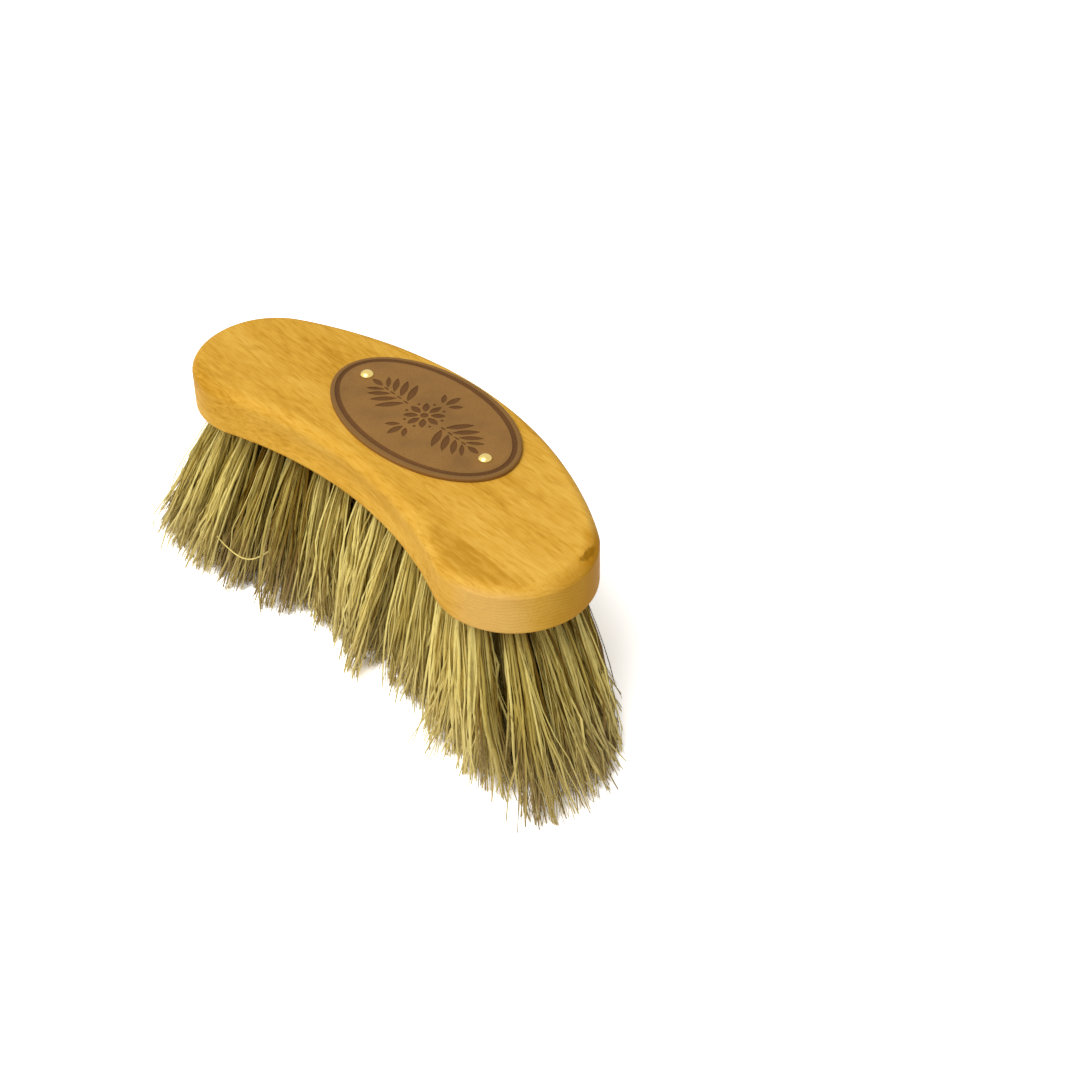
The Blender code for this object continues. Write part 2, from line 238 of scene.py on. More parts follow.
class Finish:
    """A material or a world, with the nodes that make it."""

    def __init__(self, name, library="materials"):
        self.owner = getattr(bpy.data, library).new(name)
        self.owner.use_nodes = True
        self.nodes = self.owner.node_tree.nodes
        self.links = self.owner.node_tree.links
        self.nodes.clear()

    def node(self, kind, settings=(), sockets=(), output=0):
        """Adds a node, sets it up, fills its sockets and returns one of its outputs, if it has any."""
        made = self.nodes.new(kind)
        for name, value in dict(settings).items():
            if name == "stops":
                self.set_stops(made.color_ramp, value)
            else:
                setattr(made, name, value)
        for name, value in dict(sockets).items():
            if isinstance(value, Value):
                self.links.new(value.socket, made.inputs[name])
            else:
                made.inputs[name].default_value = value
        return Value(self, made.outputs[output]) if made.outputs else None

    def set_stops(self, ramp, stops):
        while len(ramp.elements) < len(stops):
            ramp.elements.new(1.0)
        for element, (position, shade) in zip(ramp.elements, stops):
            element.position = position
            element.color = (*shade, 1.0)

    def math(self, operation, first, second=0.0):
        return self.node("ShaderNodeMath", {"operation": operation}, {0: first, 1: second})

    def place(self):
        """The point on the piece, in metres."""
        return self.node("ShaderNodeTexCoord", output="Object")

    def parts_of(self, vector):
        """The X, Y and Z of a vector."""
        first = self.node("ShaderNodeSeparateXYZ", sockets={0: vector})
        return [Value(self, output) for output in first.socket.node.outputs]

    def stretched(self, vector, per_metre):
        """The vector with its axes scaled, so that a pattern repeats so many times a metre."""
        return self.node("ShaderNodeVectorMath", {"operation": "MULTIPLY"}, {0: vector, 1: per_metre})

    def noise(self, vector, per_metre, detail=2.0, **sockets):
        """Soft random blotches, from 0 to 1."""
        sockets.update({"Vector": self.stretched(vector, per_metre), "Scale": 1.0, "Detail": detail})
        return self.node("ShaderNodeTexNoise", sockets=sockets, output="Fac")

    def cells(self, vector, per_metre):
        """How far the nearest of many random points is."""
        sockets = {"Vector": self.stretched(vector, per_metre), "Scale": 1.0}
        return self.node("ShaderNodeTexVoronoi", sockets=sockets, output="Distance")

    def step(self, value, low, high):
        """0 below low, 1 above high, and smooth between. The other way round if low is above high."""
        sockets = {"Value": value, "From Min": low, "From Max": high, "To Min": 0.0, "To Max": 1.0}
        return self.node("ShaderNodeMapRange", {"interpolation_type": "SMOOTHSTEP"}, sockets)

    def blend(self, factor, first, second):
        """One colour laid over another by a factor."""
        first, second = (c if isinstance(c, Value) else (*c, 1.0) for c in (first, second))
        return self.node("ShaderNodeMix", {"data_type": "RGBA"}, {0: factor, 6: first, 7: second}, 2)

    def ramp(self, value, stops):
        return self.node("ShaderNodeValToRGB", {"stops": stops}, {"Fac": value})

    def attribute(self, name):
        return self.node("ShaderNodeAttribute", {"attribute_name": name}, output="Fac")

    def bump(self, height, distance):
        sockets = {"Height": height, "Distance": distance, "Strength": 0.5}
        return self.node("ShaderNodeBump", sockets=sockets)

    def surface(self, **sockets):
        """Ends the material in a Principled shader. Its sockets are named with _ for each space."""
        named = {name.replace("_", " "): value for name, value in sockets.items()}
        return self.ended(self.node("ShaderNodeBsdfPrincipled", sockets=named))

    def ended(self, shader, kind="ShaderNodeOutputMaterial"):
        """The material or world, once its shader is joined to its output."""
        self.node(kind, sockets={"Surface": shader})
        return self.owner


def spokes(angles):
    """Unit vectors in the XY plane."""
    return np.column_stack([np.cos(angles), np.sin(angles)])


def half_chord(radius, off):
    """Half of a circle's chord that passes so far off its centre, and 0 beyond the circle."""
    return np.sqrt(np.maximum(0.0, radius**2 - off**2))


def quarter_round(radius, count):
    """Steps round a rim, each with one distance that shrinks to 0 and one that grows from 0."""
    turns = np.linspace(0, math.pi / 2, count)
    return [(radius * (1 - math.sin(turn)), radius * (1 - math.cos(turn))) for turn in turns]


class Bean:
    """The block's outline: two lobes, joined by a crown arc and a waist arc."""

    point_step = 0.0012

    def __init__(self, block, inset=0.0):
        self.middle = Vector(((BLOCK_LOW.x + BLOCK_HIGH.x) / 2, BLOCK_LOW.y + block.lobe_radius))
        self.half_length = (BLOCK_HIGH.x - BLOCK_LOW.x) / 2
        crown_rise = BLOCK_HIGH.y - self.middle.y
        self.lobe_x = self.half_length - block.lobe_radius
        self.lobe_radius = block.lobe_radius - inset
        self.crown_y, self.crown_angle = self.joint(crown_rise - block.lobe_radius)
        self.crown_radius = crown_rise - self.crown_y - inset
        self.waist_y, self.waist_angle = self.joint(block.lobe_radius - block.waist_drop)
        self.waist_radius = -block.waist_drop - self.waist_y + inset

    def joint(self, rise):
        """The Y of the centre of an arc that touches both lobes, and its angle where it meets one."""
        centre_y = (rise**2 - self.lobe_x**2) / (2 * rise)
        return centre_y, math.atan2(-centre_y, self.lobe_x)

    def arc(self, centre, radius, start, end, outward=1.0):
        """Points along an arc, each with its outward normal, without the last point."""
        count = math.ceil(abs(end - start) * radius / self.point_step)
        normals = spokes(start + (end - start) * np.arange(count) / count)
        return np.column_stack([np.array(centre) + radius * normals, outward * normals])

    def ring(self):
        """Points of the outline with their outward normals: x, y, normal x, normal y."""
        crown, waist, half_turn = self.crown_angle, self.waist_angle, math.pi
        arcs = [
            self.arc((0, self.crown_y), self.crown_radius, crown, half_turn - crown),
            self.arc((-self.lobe_x, 0), self.lobe_radius, half_turn - crown, 2 * half_turn - waist),
            self.arc((0, self.waist_y), self.waist_radius, half_turn - waist, waist, -1.0),
            self.arc((self.lobe_x, 0), self.lobe_radius, half_turn + waist, 2 * half_turn + crown),
        ]
        return np.concatenate(arcs)

    def span(self, x):
        """The lowest and highest Y of the outline at x, all from the middle of the lobes' line."""
        lobe_y = half_chord(self.lobe_radius, np.abs(x) - self.lobe_x)
        crown_y = self.crown_y + half_chord(self.crown_radius, x)
        waist_y = self.waist_y + half_chord(self.waist_radius, x)
        low = np.where(np.abs(x) < self.waist_radius * math.cos(self.waist_angle), waist_y, -lobe_y)
        high = np.where(np.abs(x) < self.crown_radius * math.cos(self.crown_angle), crown_y, lobe_y)
        return low, high


class TuftField:
    """Where the tufts stand on the underside, and how far their tips lean."""

    # What aims beyond an edge is folded back in by this share of the way that it passed it
    fold = 0.6
    # How far beyond the last rows fibres may aim along X
    end_edge = 0.0042

    def __init__(self, brush):
        self.settings = brush.tufts
        self.bean = Bean(brush.block, self.settings.side_margin)
        self.end_x = self.bean.half_length - self.settings.end_margin
        self.rows_each_way = (len(ROW_NODES) - 1) // 2
        self.pitch = self.end_x / self.rows_each_way
        low, high = self.bean.span(0.0)
        self.half_width = (high - low) / 2

    def rows(self):
        return range(-self.rows_each_way, self.rows_each_way + 1)

    def places(self, row):
        """The tufts of one row. Every other row stands between its neighbours' tufts."""
        x = row * self.pitch
        low, high = self.bean.span(x)
        spaces = max(1, round((high - low) / self.settings.pitch))
        at_edges = (self.rows_each_way - row) % 2 == 0
        count, start = (spaces + 1, 0.0) if at_edges else (spaces, 0.5)
        return [(x, low + (high - low) * (start + place) / spaces) for place in range(count)]

    def lean(self, x, y):
        """How far a tip lies from its root, in X and Y."""
        tufts = self.settings
        near = x > 0
        share = np.abs(x) / self.end_x
        low, high = self.bean.span(x)
        across = (y - (low + high) / 2) / self.half_width
        end_splay = np.where(near, tufts.end_splay_near, tufts.end_splay_far)
        waist_end = np.where(near, tufts.waist_splay_near, tufts.waist_splay_far)
        waist_splay = tufts.waist_splay + (waist_end - tufts.waist_splay) * share
        crown_splay = tufts.crown_splay + (tufts.crown_splay_end - tufts.crown_splay) * share**6
        corner = 1 - np.where(near, 0.0, tufts.corner) * np.clip((0.5 - across) / 1.3, 0, 1)
        late_rise = np.where(near, 2.5, 3.3)
        lean_x = np.copysign(end_splay * corner * share**late_rise, x)
        return lean_x, across * np.where(across > 0, crown_splay, waist_splay)

    def folded(self, value, low, high):
        """A value held between two limits. What lies beyond them is folded back in."""
        from_high = (1 + self.fold) * high - self.fold * value
        from_low = (1 + self.fold) * low - self.fold * value
        within = np.where(value > high, from_high, np.where(value < low, from_low, value))
        return np.clip(within, low, high)

    def tips(self, x, y, edge):
        """Where fibres that aim at x, y in the roots' plane end. edge is how far out they may aim."""
        end_edge = np.minimum(edge, self.end_edge)
        x = self.folded(x, -self.end_x - end_edge, self.end_x + end_edge)
        low, high = self.bean.span(x)
        y = self.folded(y, low - edge, high + edge)
        lean_x, lean_y = self.lean(x, y)
        return x + lean_x, y + lean_y


def object_of(name, bm, *finishes):
    """An object with its finishes from a bmesh, which is freed."""
    mesh = bpy.data.meshes.new(name)
    bm.to_mesh(mesh)
    bm.free()
    for finish in finishes:
        mesh.materials.append(finish)
    made = bpy.data.objects.new(name, mesh)
    bpy.context.scene.collection.objects.link(made)
    return made


def stack_rings(bm, rings):
    """A closed solid through rings of points from the bottom up, extruded from ring to ring."""
    verts = bmesh.ops.create_circle(bm, cap_ends=True, segments=len(rings[0]), radius=1.0)["verts"]
    edges = list(dict.fromkeys(edge for vert in verts for edge in vert.link_edges))
    for number, points in enumerate(rings):
        if number:
            grown = bmesh.ops.extrude_edge_only(bm, edges=edges)["geom"]
            fresh = {part for part in grown if isinstance(part, bmesh.types.BMVert)}
            sides = [part for part in grown if isinstance(part, bmesh.types.BMEdge)]
            edges = [edge for edge in sides if fresh.issuperset(edge.verts)]
            others = [[edge.other_vert(vert) for edge in vert.link_edges] for vert in verts]
            verts = [next(vert for vert in joined if vert in fresh) for joined in others]
        for vert, point in zip(verts, points):
            vert.co = point
    bmesh.ops.contextual_create(bm, geom=edges)
    bmesh.ops.recalc_face_normals(bm, faces=bm.faces)


def solid_of(name, rings, *finishes):
    """An object from rings of points."""
    bm = bmesh.new()
    stack_rings(bm, rings)
    return object_of(name, bm, *finishes)


def ellipse(middle, reach_x, reach_y, height, count):
    """A level ring of points."""
    ways = spokes(np.linspace(0, 2 * math.pi, count, endpoint=False))
    x, y = middle.x + reach_x * ways[:, 0], middle.y + reach_y * ways[:, 1]
    return np.column_stack([x, y, np.full(count, height)])


def prism(bm, sides, radius=1.0, height=2.0, middle=(0, 0, 0)):
    """Adds an upright prism, and returns its vertices."""
    made = bmesh.ops.create_cone(
        bm,
        cap_ends=True,
        segments=sides,
        radius1=radius,
        radius2=radius,
        depth=height,
        matrix=Matrix.Translation(middle),
    )
    return made["verts"]


def give(piece, name, values):
    """Gives each vertex of a piece its number, as an attribute that a finish reads."""
    piece.data.attributes.new(name, "FLOAT", "POINT").data.foreach_set("value", values)


def cut(piece, cutter):
    """Cuts a piece with a cutter, which goes, and keeps the result as the piece's mesh."""
    modifier = piece.modifiers.new("cut", "BOOLEAN")
    modifier.operation = "DIFFERENCE"
    modifier.solver = "EXACT"
    modifier.material_mode = "TRANSFER"
    modifier.object = cutter
    graph = bpy.context.evaluated_depsgraph_get()
    result = bpy.data.meshes.new_from_object(piece.evaluated_get(graph))
    piece.modifiers.remove(modifier)
    bpy.data.objects.remove(cutter, do_unlink=True)
    piece.data = result


def finish_piece(obj, nodes, smooth_angle=35.0):
    """Shades a piece, and puts it in the frame in the place of its nodes."""
    obj.data.shade_smooth()
    obj.data.set_sharp_from_angle(angle=math.radians(smooth_angle))
    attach(obj, BODY)
    if nodes:
        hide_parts(*nodes)


def beech(block):
    """Honey-coloured lacquered beech: short strokes and flecks along X over growth rings."""
    wood = Finish("lacquered_beech")
    place, step = wood.place(), wood.step
    x, y, z = wood.parts_of(place)
    bean = Bean(block)
    top = BLOCK_HIGH.z
    along, across = x - bean.middle.x, y - bean.middle.y
    drift = wood.noise(place, (7.0, 30.0, 30.0), detail=3.0)

    # Growth rings, round a pith that ran far below the block. They show on the near end.
    pith_aside, pith_drop, ring_width, wander = 0.012, 0.11, 0.0014, 0.016
    from_pith = ((y + pith_aside) ** 2 + (z - BLOCK_LOW.z + pith_drop) ** 2) ** 0.5
    growth = wood.math("FRACT", (from_pith + (drift - 0.5) * wander) / ring_width)
    late = step(growth, 0.45, 0.9) * step(growth, 1.0, 0.92)
    end_face = step(along, 0.080, 0.098) * step(z, top - 0.001, top - 0.0035)
    off_end = 1 - end_face

    # Strokes, flecks and veins along the grain, which the end face hides
    strokes = wood.noise(place, (85.0, 560.0, 560.0), detail=3.0, Roughness=0.6)
    fine = wood.noise(place, (190.0, 1300.0, 1300.0))
    mottle = strokes + (0.5 - strokes) * end_face * 0.8
    broad = wood.noise(place, (15.0, 75.0, 75.0))
    flecks = step(wood.cells(place, (85.0, 720.0, 720.0)), 0.30, 0.12)
    fleck_here = step(wood.noise(place, (50.0, 120.0, 120.0)), 0.38, 0.56)
    veins = wood.noise(place, (11.0, 140.0, 140.0), detail=1.0, Distortion=0.3)
    vein = step(wood.math("ABSOLUTE", veins - 0.5), 0.024, 0.004)

    # A darker patch on the waist side of the near end's top
    border = across - along * 0.06 + 0.0178 + (drift - 0.5) * 0.012
    on_top = step(z, top - 0.0012, top - 0.0002)
    patch = step(border + (strokes - 0.5) * 0.007, 0.0016, -0.0016) * step(along, 0.047, 0.054)
    patch = patch * on_top * (1 - step(along, 0.088, 0.099) * 0.5)

    # The near end's wall and brink: painted shade on one side, and a painted sunlit patch on the other
    from_lobe = ((along - bean.lobe_x) ** 2 + across**2) ** 0.5
    brink = step(from_lobe, bean.lobe_radius - 0.0068, bean.lobe_radius - 0.0035)
    below = 1 - on_top * (1 - brink * 0.5)
    painted_shade_side = step(across + (drift - 0.5) * 0.02, -0.015, 0.005) * step(along, 0.080, 0.092)
    shaded = painted_shade_side * below * (0.54 + step(across, 0.004, 0.016) * 0.36)
    sunny = step(across, -0.010, -0.022) * step(along, 0.070, 0.086)
    sunny = sunny * step(z, top - 0.0008, top - 0.0032)

    tone = wood.ramp(
        mottle * 0.32 + broad * 0.40 + fine * 0.28 + along * 0.35 + 0.008,
        [(0.34, block.dark), (0.485, block.middle), (0.63, block.light)],
    )
    layers = [
        (flecks * fleck_here * off_end * 0.46, block.dark),
        (vein * off_end * (0.12 + fleck_here * 0.2), block.dark),
        (patch * (0.38 + step(strokes, 0.58, 0.42) * 0.32), block.dark),
        (shaded, block.shaded),
        # Painted shade round the nick
        (painted_nick_shade(wood, block, bean, along, across, strokes), block.nick_shade),
        (sunny * 0.5, block.sunlit),
        # Late rings darken the end face, and painted shade darkens them further on its shaded side
        (late * (0.1 + end_face * (0.1 + painted_shade_side * 0.36)), block.dark),
    ]
    for factor, shade in layers:
        tone = wood.blend(factor, tone, shade)
    grain = wood.noise(place, (120.0, 2500.0, 2500.0), detail=3.0)
    return wood.surface(
        Base_Color=tone,
        Roughness=0.42 + mottle * 0.14,
        Specular_IOR_Level=0.025,
        Normal=wood.bump(grain * 0.5 + fine, 0.00007),
    )


def painted_nick_shade(wood, block, bean, along, across, strokes):
    """How much painted shade lies round the nick: an oval across the way out, a little askew."""
    half_wide, half_long, slant, frayed = 0.0012, 0.0046, 0.16, 1.6
    cosine, sine = math.cos(block.nick_turn), math.sin(block.nick_turn)
    outward = (along - bean.lobe_x) * cosine + across * sine - (bean.lobe_radius - NICK_INSET)
    aside = across * cosine - (along - bean.lobe_x) * sine
    askew = outward - aside * slant
    from_nick = ((askew / half_wide) ** 2 + (aside / half_long) ** 2) ** 0.5 + (strokes - 0.5) * frayed
    return wood.step(from_nick, 1.3, 0.7) * 0.85


def leather(name, shade, roughness):
    """Fine-grained leather, darker towards the badge's edge."""
    hide = Finish(name)
    place = hide.place()
    pebbles = hide.cells(place, (1500.0, 1500.0, 1500.0))
    pores = hide.noise(place, (5200.0, 5200.0, 5200.0))
    cloud = hide.noise(place, (70.0, 70.0, 70.0), detail=3.0)
    deep = tuple(channel * 0.78 for channel in shade)
    pale = tuple(min(1.0, channel * 1.1) for channel in shade)
    tone = hide.ramp(cloud, [(0.3, deep), (0.5, shade), (0.7, pale)])
    tone = hide.blend(hide.step(pebbles, 0.35, 0.75) * 0.35, tone, deep)
    x, y, _ = hide.parts_of(place)
    half = (BADGE_HIGH - BADGE_LOW) / 2
    reach = (((x - BADGE_MIDDLE.x) / half.x) ** 2 + ((y - BADGE_MIDDLE.y) / half.y) ** 2) ** 0.5
    return hide.surface(
        Base_Color=hide.blend(hide.step(reach, 0.84, 0.93) * 0.8, tone, deep),
        Roughness=roughness + cloud * 0.12,
        Specular_IOR_Level=0.18,
        Normal=hide.bump(1.0 - pebbles + pores * 0.4, 0.00014),
    )


def polished_brass(nails):
    """Pale brass, a little scuffed."""
    brass = Finish("polished_brass")
    scuffs = brass.noise(brass.place(), (900.0, 900.0, 2500.0), detail=4.0)
    return brass.surface(
        Base_Color=(*nails.brass, 1.0),
        Metallic=1.0,
        Roughness=0.16 + scuffs * 0.2,
        Normal=brass.bump(scuffs, 0.00006),
    )


def plant_fibre(tufts):
    """Stiff plant fibre. Each fibre has its own tone, and streaks along its length."""
    fibre = Finish("plant_fibre")
    tone, along = fibre.attribute("tone"), fibre.attribute("along")
    straw, olive, brown = tufts.straw, tufts.olive, tufts.brown
    palest = tuple(min(1.0, channel * 1.2) for channel in straw)
    kinds = ((0.1, palest), (0.38, straw), (0.6, olive), (0.74, olive), (0.88, brown))
    streaks = fibre.noise(fibre.place(), (900.0, 900.0, 120.0), detail=3.0)
    root, worn_tip = fibre.step(along, 0.3, 0.0), fibre.step(along, 0.5, 1.0)
    shade = fibre.blend(fibre.step(streaks, 0.5, 0.75) * 0.35, fibre.ramp(tone, kinds), brown)
    # Painted shade: the fibres darken towards their roots, where the block shades them
    shade = fibre.blend(root * (0.25 + tone * 0.5), shade, brown)
    shade = fibre.blend(worn_tip * 0.36, shade, tufts.dust)
    return fibre.surface(Base_Color=shade, Roughness=0.5 + streaks * 0.2, Specular_IOR_Level=0.14)


class GROOMING_OT_block(Operator):
    """Models the beech block with its finger groove and tuft holes"""

    bl_idname = "grooming.block"
    bl_label = "Beech block"

    rim_levels, wall_levels, top_levels = 5, 30, 10
    # The flat faces start this far in from the roundings
    face_inset = 0.0004
    # By what share the worn rim's width varies, and how deep the waves of sanding are
    chip_share, chips_per_metre = 0.16, 300.0
    wave_depth, waves_per_metre = 0.00013, 45.0
    # How soft the groove's edges are, and how steeply its ends run out
    groove_softness, groove_run_out = 0.0007, 6

    def execute(self, context):
        brush = context.scene.grooming_brush
        block = solid_of("beech_block", self.rings(brush.block), beech(brush.block))
        cut(block, self.drill(brush))
        finish_piece(block, ["block"])
        return {"FINISHED"}

    def rings(self, block):
        """The block's surface from the underside, up the wall and in over the top."""
        bean = Bean(block)
        ring = bean.ring()
        places, normals = ring[:, :2], ring[:, 2:]
        to_near_end, to_waist = np.clip(normals[:, 0], 0, 1), np.clip(-normals[:, 1], 0, 1)
        near_end = np.clip((places[:, 0] - 0.5 * bean.lobe_x) / (0.5 * bean.half_length), 0, 1)
        crisp = 0.6 * near_end * np.clip(normals[:, 0] + 0.4, 0, 1)
        rounding = block.top_rounding * (1.0 + 0.1 * to_waist * (1 - near_end))
        hand_side = np.clip(0.35 - normals[:, 1] + 0.5 * to_near_end, 0, 1)
        reach = rounding + (block.worn_width - rounding) * hand_side
        chips = [noise.noise(Vector((x, y, 0.0)) * self.chips_per_metre) for x, y in places]
        reach = reach * (1 + self.chip_share * near_end * np.array(chips))
        lower = block.underside_rounding
        levels = [(lower + self.face_inset, BLOCK_LOW.z)]
        levels += [(inset, BLOCK_LOW.z + up) for inset, up in quarter_round(lower, self.rim_levels)]
        wall_low, wall_high = BLOCK_LOW.z + lower, BLOCK_HIGH.z - rounding
        for share in np.linspace(0, 1, self.wall_levels)[1:-1]:
            levels.append((0.0, wall_low + (wall_high - wall_low) * share))
        for turn in np.linspace(0, 1, self.top_levels):
            round_in = 1 - np.cos(turn * math.pi / 2)
            round_up = np.sin(turn * math.pi / 2)
            inset = reach * (round_in + crisp * (turn - round_in) * 0.8)
            levels.append((inset, wall_high + rounding * (round_up + crisp * (turn - round_up) * 0.8)))
        levels.append((reach + self.face_inset, BLOCK_HIGH.z))
        rings = []
        for inset, height in levels:
            height = np.ones(len(places)) * height
            inset = inset + self.groove(block, places, normals, height) + self.unevenness(places, height)
            flat = places - normals * inset[:, None] + np.array(bean.middle)
            rings.append(np.column_stack([flat, height]))
        return rings

    def groove(self, block, places, normals, height):
        """How deep the finger groove cuts in at each place of one level."""
        radius = (block.groove_height**2 / 4 + block.groove_depth**2) / (2 * block.groove_depth)
        fade = np.clip(1 - (places[:, 0] / block.groove_reach) ** 2, 0, 1)
        rise = height - BLOCK_LOW.z - block.groove_rise
        bite = block.groove_depth * fade - radius + half_chord(radius, rise)
        bite = (bite + np.sqrt(bite**2 + self.groove_softness**2)) / 2
        on_waist = (normals[:, 1] < -0.3) & (fade > 0)
        return np.where(on_waist, bite * np.clip(fade * self.groove_run_out, 0, 1), 0.0)

    def unevenness(self, places, height):
        """How far the waves that sanding left lie in from a true wall."""
        waves = []
        for (x, y), z in zip(places, height):
            waves.append(noise.noise(Vector((x, y, z * 0.6)) * self.waves_per_metre))
        return self.wave_depth * np.array(waves)

    def drill(self, brush):
        """All tuft holes and the nick as one cutter."""
        block = brush.block
        field = TuftField(brush)
        middle = field.bean.middle
        bm = bmesh.new()
        for row in field.rows():
            for x, y in field.places(row):
                mouth = (x + middle.x, y + middle.y, BLOCK_LOW.z)
                prism(bm, 16, block.hole_radius, 2 * block.hole_depth, mouth)
        self.nick(bm, Bean(block), block.nick_turn)
        return object_of("drill", bm, bpy.data.materials["lacquered_beech"])

    def nick(self, bm, bean, turn):
        """A small dent in the upper rim of the near end."""
        sunk, tilt, half_sizes = 0.0001, 0.35, (0.0013, 0.0031, 0.0006)
        outward = Vector((math.cos(turn), math.sin(turn), 0))
        lobe = Vector((bean.middle.x + bean.lobe_x, bean.middle.y, BLOCK_HIGH.z - sunk))
        where = lobe + outward * (bean.lobe_radius - NICK_INSET)
        shape = Matrix.Translation(where) @ Matrix.Rotation(turn, 4, "Z") @ Matrix.Rotation(tilt, 4, "Y")
        shape = shape @ Matrix.Diagonal((*half_sizes, 1.0))
        bmesh.ops.create_icosphere(bm, subdivisions=2, radius=1.0, matrix=shape)


class GROOMING_OT_badge(Operator):
    """Models the leather badge with its burnt line and leaf ornament"""

    bl_idname = "grooming.badge"
    bl_label = "Leather badge"

    ring_points = 160
    # Half the width of each flank of the burnt line
    lip = 0.00025

    def execute(self, context):
        badge = context.scene.grooming_brush.badge
        self.half_length = (BADGE_HIGH.x - BADGE_LOW.x) / 2 - badge.wear
        self.half_width = (BADGE_HIGH.y - BADGE_LOW.y) / 2 - badge.wear
        brown = leather("brown_leather", badge.leather, roughness=0.55)
        burnt = leather("burnt_leather", badge.burnt, roughness=0.75)
        hide = solid_of("leather_badge", self.rings(badge), brown, burnt)
        self.burn(hide, badge)
        cut(hide, self.stamps(badge.ornament_depth))
        finish_piece(hide, ["badge"])
        return {"FINISHED"}

    def rings(self, badge):
        """Rings of points from the bottom, over the edge and through the line."""
        top, edge, lip = BADGE_HIGH.z, badge.edge_rounding, self.lip
        gap, bevel, bevel_rise = 0.00002, 0.0002, 0.0003
        levels = [(bevel, BLOCK_HIGH.z + gap), (0.0, BLOCK_HIGH.z + bevel_rise)]
        levels += [(inset, top - down) for down, inset in quarter_round(edge, 6)]
        start, end = badge.line_margin, badge.line_margin + badge.line_width
        floor, flank = top - badge.line_depth, top - badge.line_depth * 0.4
        levels += [(start - lip, top), (start, flank), (start + lip, floor)]
        levels += [(end - lip, floor), (end, flank), (end + lip, top), (end + 2 * lip, top)]
        long, wide, count = self.half_length, self.half_width, self.ring_points
        return [ellipse(BADGE_MIDDLE, long - inset, wide - inset, height, count) for inset, height in levels]

    def burn(self, hide, badge):
        """Gives the faces of the line the burnt finish."""
        for face in hide.data.polygons:
            if len(face.vertices) > 4:
                continue
            x = (face.center.x - BADGE_MIDDLE.x) / self.half_length
            y = (face.center.y - BADGE_MIDDLE.y) / self.half_width
            inset = (1 - math.hypot(x, y)) * (self.half_length if abs(x) > abs(y) else self.half_width)
            sunk = face.center.z < BADGE_HIGH.z - 0.00003
            face.material_index = 1 if sunk and inset > badge.edge_rounding * 2 else 0

    def stamps(self, depth):
        """The ornament as one cutter: a rosette, with leaf sprays along the badge and two buds."""
        self.depth = depth
        bm = bmesh.new()
        self.stamp(bm, 0, 0, 0, 0.0030, 0.0030, dot=True)
        for petal in range(8):
            turn = petal * math.pi / 4
            self.stamp(bm, 0.0022 * math.cos(turn), 0.0022 * math.sin(turn), turn, 0.0056, 0.0027)
            turn += math.pi / 8
            self.stamp(bm, 0.0074 * math.cos(turn), 0.0074 * math.sin(turn), turn, 0.0011, 0.0011, dot=True)
        leaves = ((0.0112, 0.0108, 58), (0.0152, 0.0102, 52), (0.0192, 0.0090, 46), (0.0230, 0.0070, 40))
        for side in (1, -1):
            heading = 0.0 if side > 0 else math.pi
            for start, size, lean in leaves:
                for up in (1, -1):
                    turn = heading + side * up * math.radians(lean)
                    self.stamp(bm, side * start, up * 0.0008, turn, size, size * 0.27)
                self.stamp(bm, side * (start - 0.0016), 0, heading, 0.0030, 0.0008)
            self.stamp(bm, side * 0.0252, 0, heading, 0.0062, 0.0024)
        for up in (1, -1):
            heading = up * math.pi / 2
            self.stamp(bm, 0, up * 0.0098, heading, 0.0072, 0.0028)
            for lean in (0.75, -0.75):
                self.stamp(bm, -up * lean * 0.0022, up * 0.0098, heading + lean, 0.0056, 0.0021)
        return object_of("stamps", bm, bpy.data.materials["burnt_leather"])

    def stamp(self, bm, x, y, turn, long, wide, dot=False):
        """A round dot centred at x, y, or a pointed leaf that runs from there along turn."""
        forward = Vector((math.cos(turn), math.sin(turn)))
        aside = Vector((-forward.y, forward.x))
        middle = Vector((BADGE_MIDDLE.x + x, BADGE_MIDDLE.y + y)) + forward * (0.0 if dot else long / 2)
        for vert in prism(bm, 20):
            u, v, w = vert.co
            v = v if dot else v * abs(v)
            spot = middle + forward * (u * long / 2) + aside * (v * wide / 2)
            vert.co = (spot.x, spot.y, BADGE_HIGH.z + w * self.depth)


class GROOMING_OT_nails(Operator):
    """Models the two domed brass nails"""

    bl_idname = "grooming.nails"
    bl_label = "Brass nails"

    ring_points = 40

    def execute(self, context):
        nails = context.scene.grooming_brush.nails
        brass = polished_brass(nails)
        for node in NAIL_NODES:
            low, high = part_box(node)
            middle = (low + high) / 2
            levels = self.profile(nails, low, high)
            rings = [ellipse(middle, radius, radius, height, self.ring_points) for radius, height in levels]
            nail = solid_of(node.replace("nail", "brass_nail"), rings, brass)
            finish_piece(nail, [node], 50.0)
        return {"FINISHED"}

    def profile(self, nails, low, high):
        """Radii and heights from the point of the shank to the top of the dome."""
        shank, head = nails.shank_radius, (high.x - low.x) / 2
        base = high.z - nails.head_height
        point, taper, neck, underside, rim = 0.0001, 0.002, 0.0003, 0.00035, 0.0002
        levels = [(point, low.z), (shank, low.z + taper), (shank, base - neck)]
        levels += [(head * 0.9, base - underside), (head, base - rim), (head, base)]
        dome = (head**2 + nails.head_height**2) / (2 * nails.head_height)
        widest = math.asin(head / dome)
        for share in np.linspace(1, 0.02, 12)[1:]:
            angle = widest * share
            levels.append((dome * math.sin(angle), high.z - dome * (1 - math.cos(angle))))
        return levels


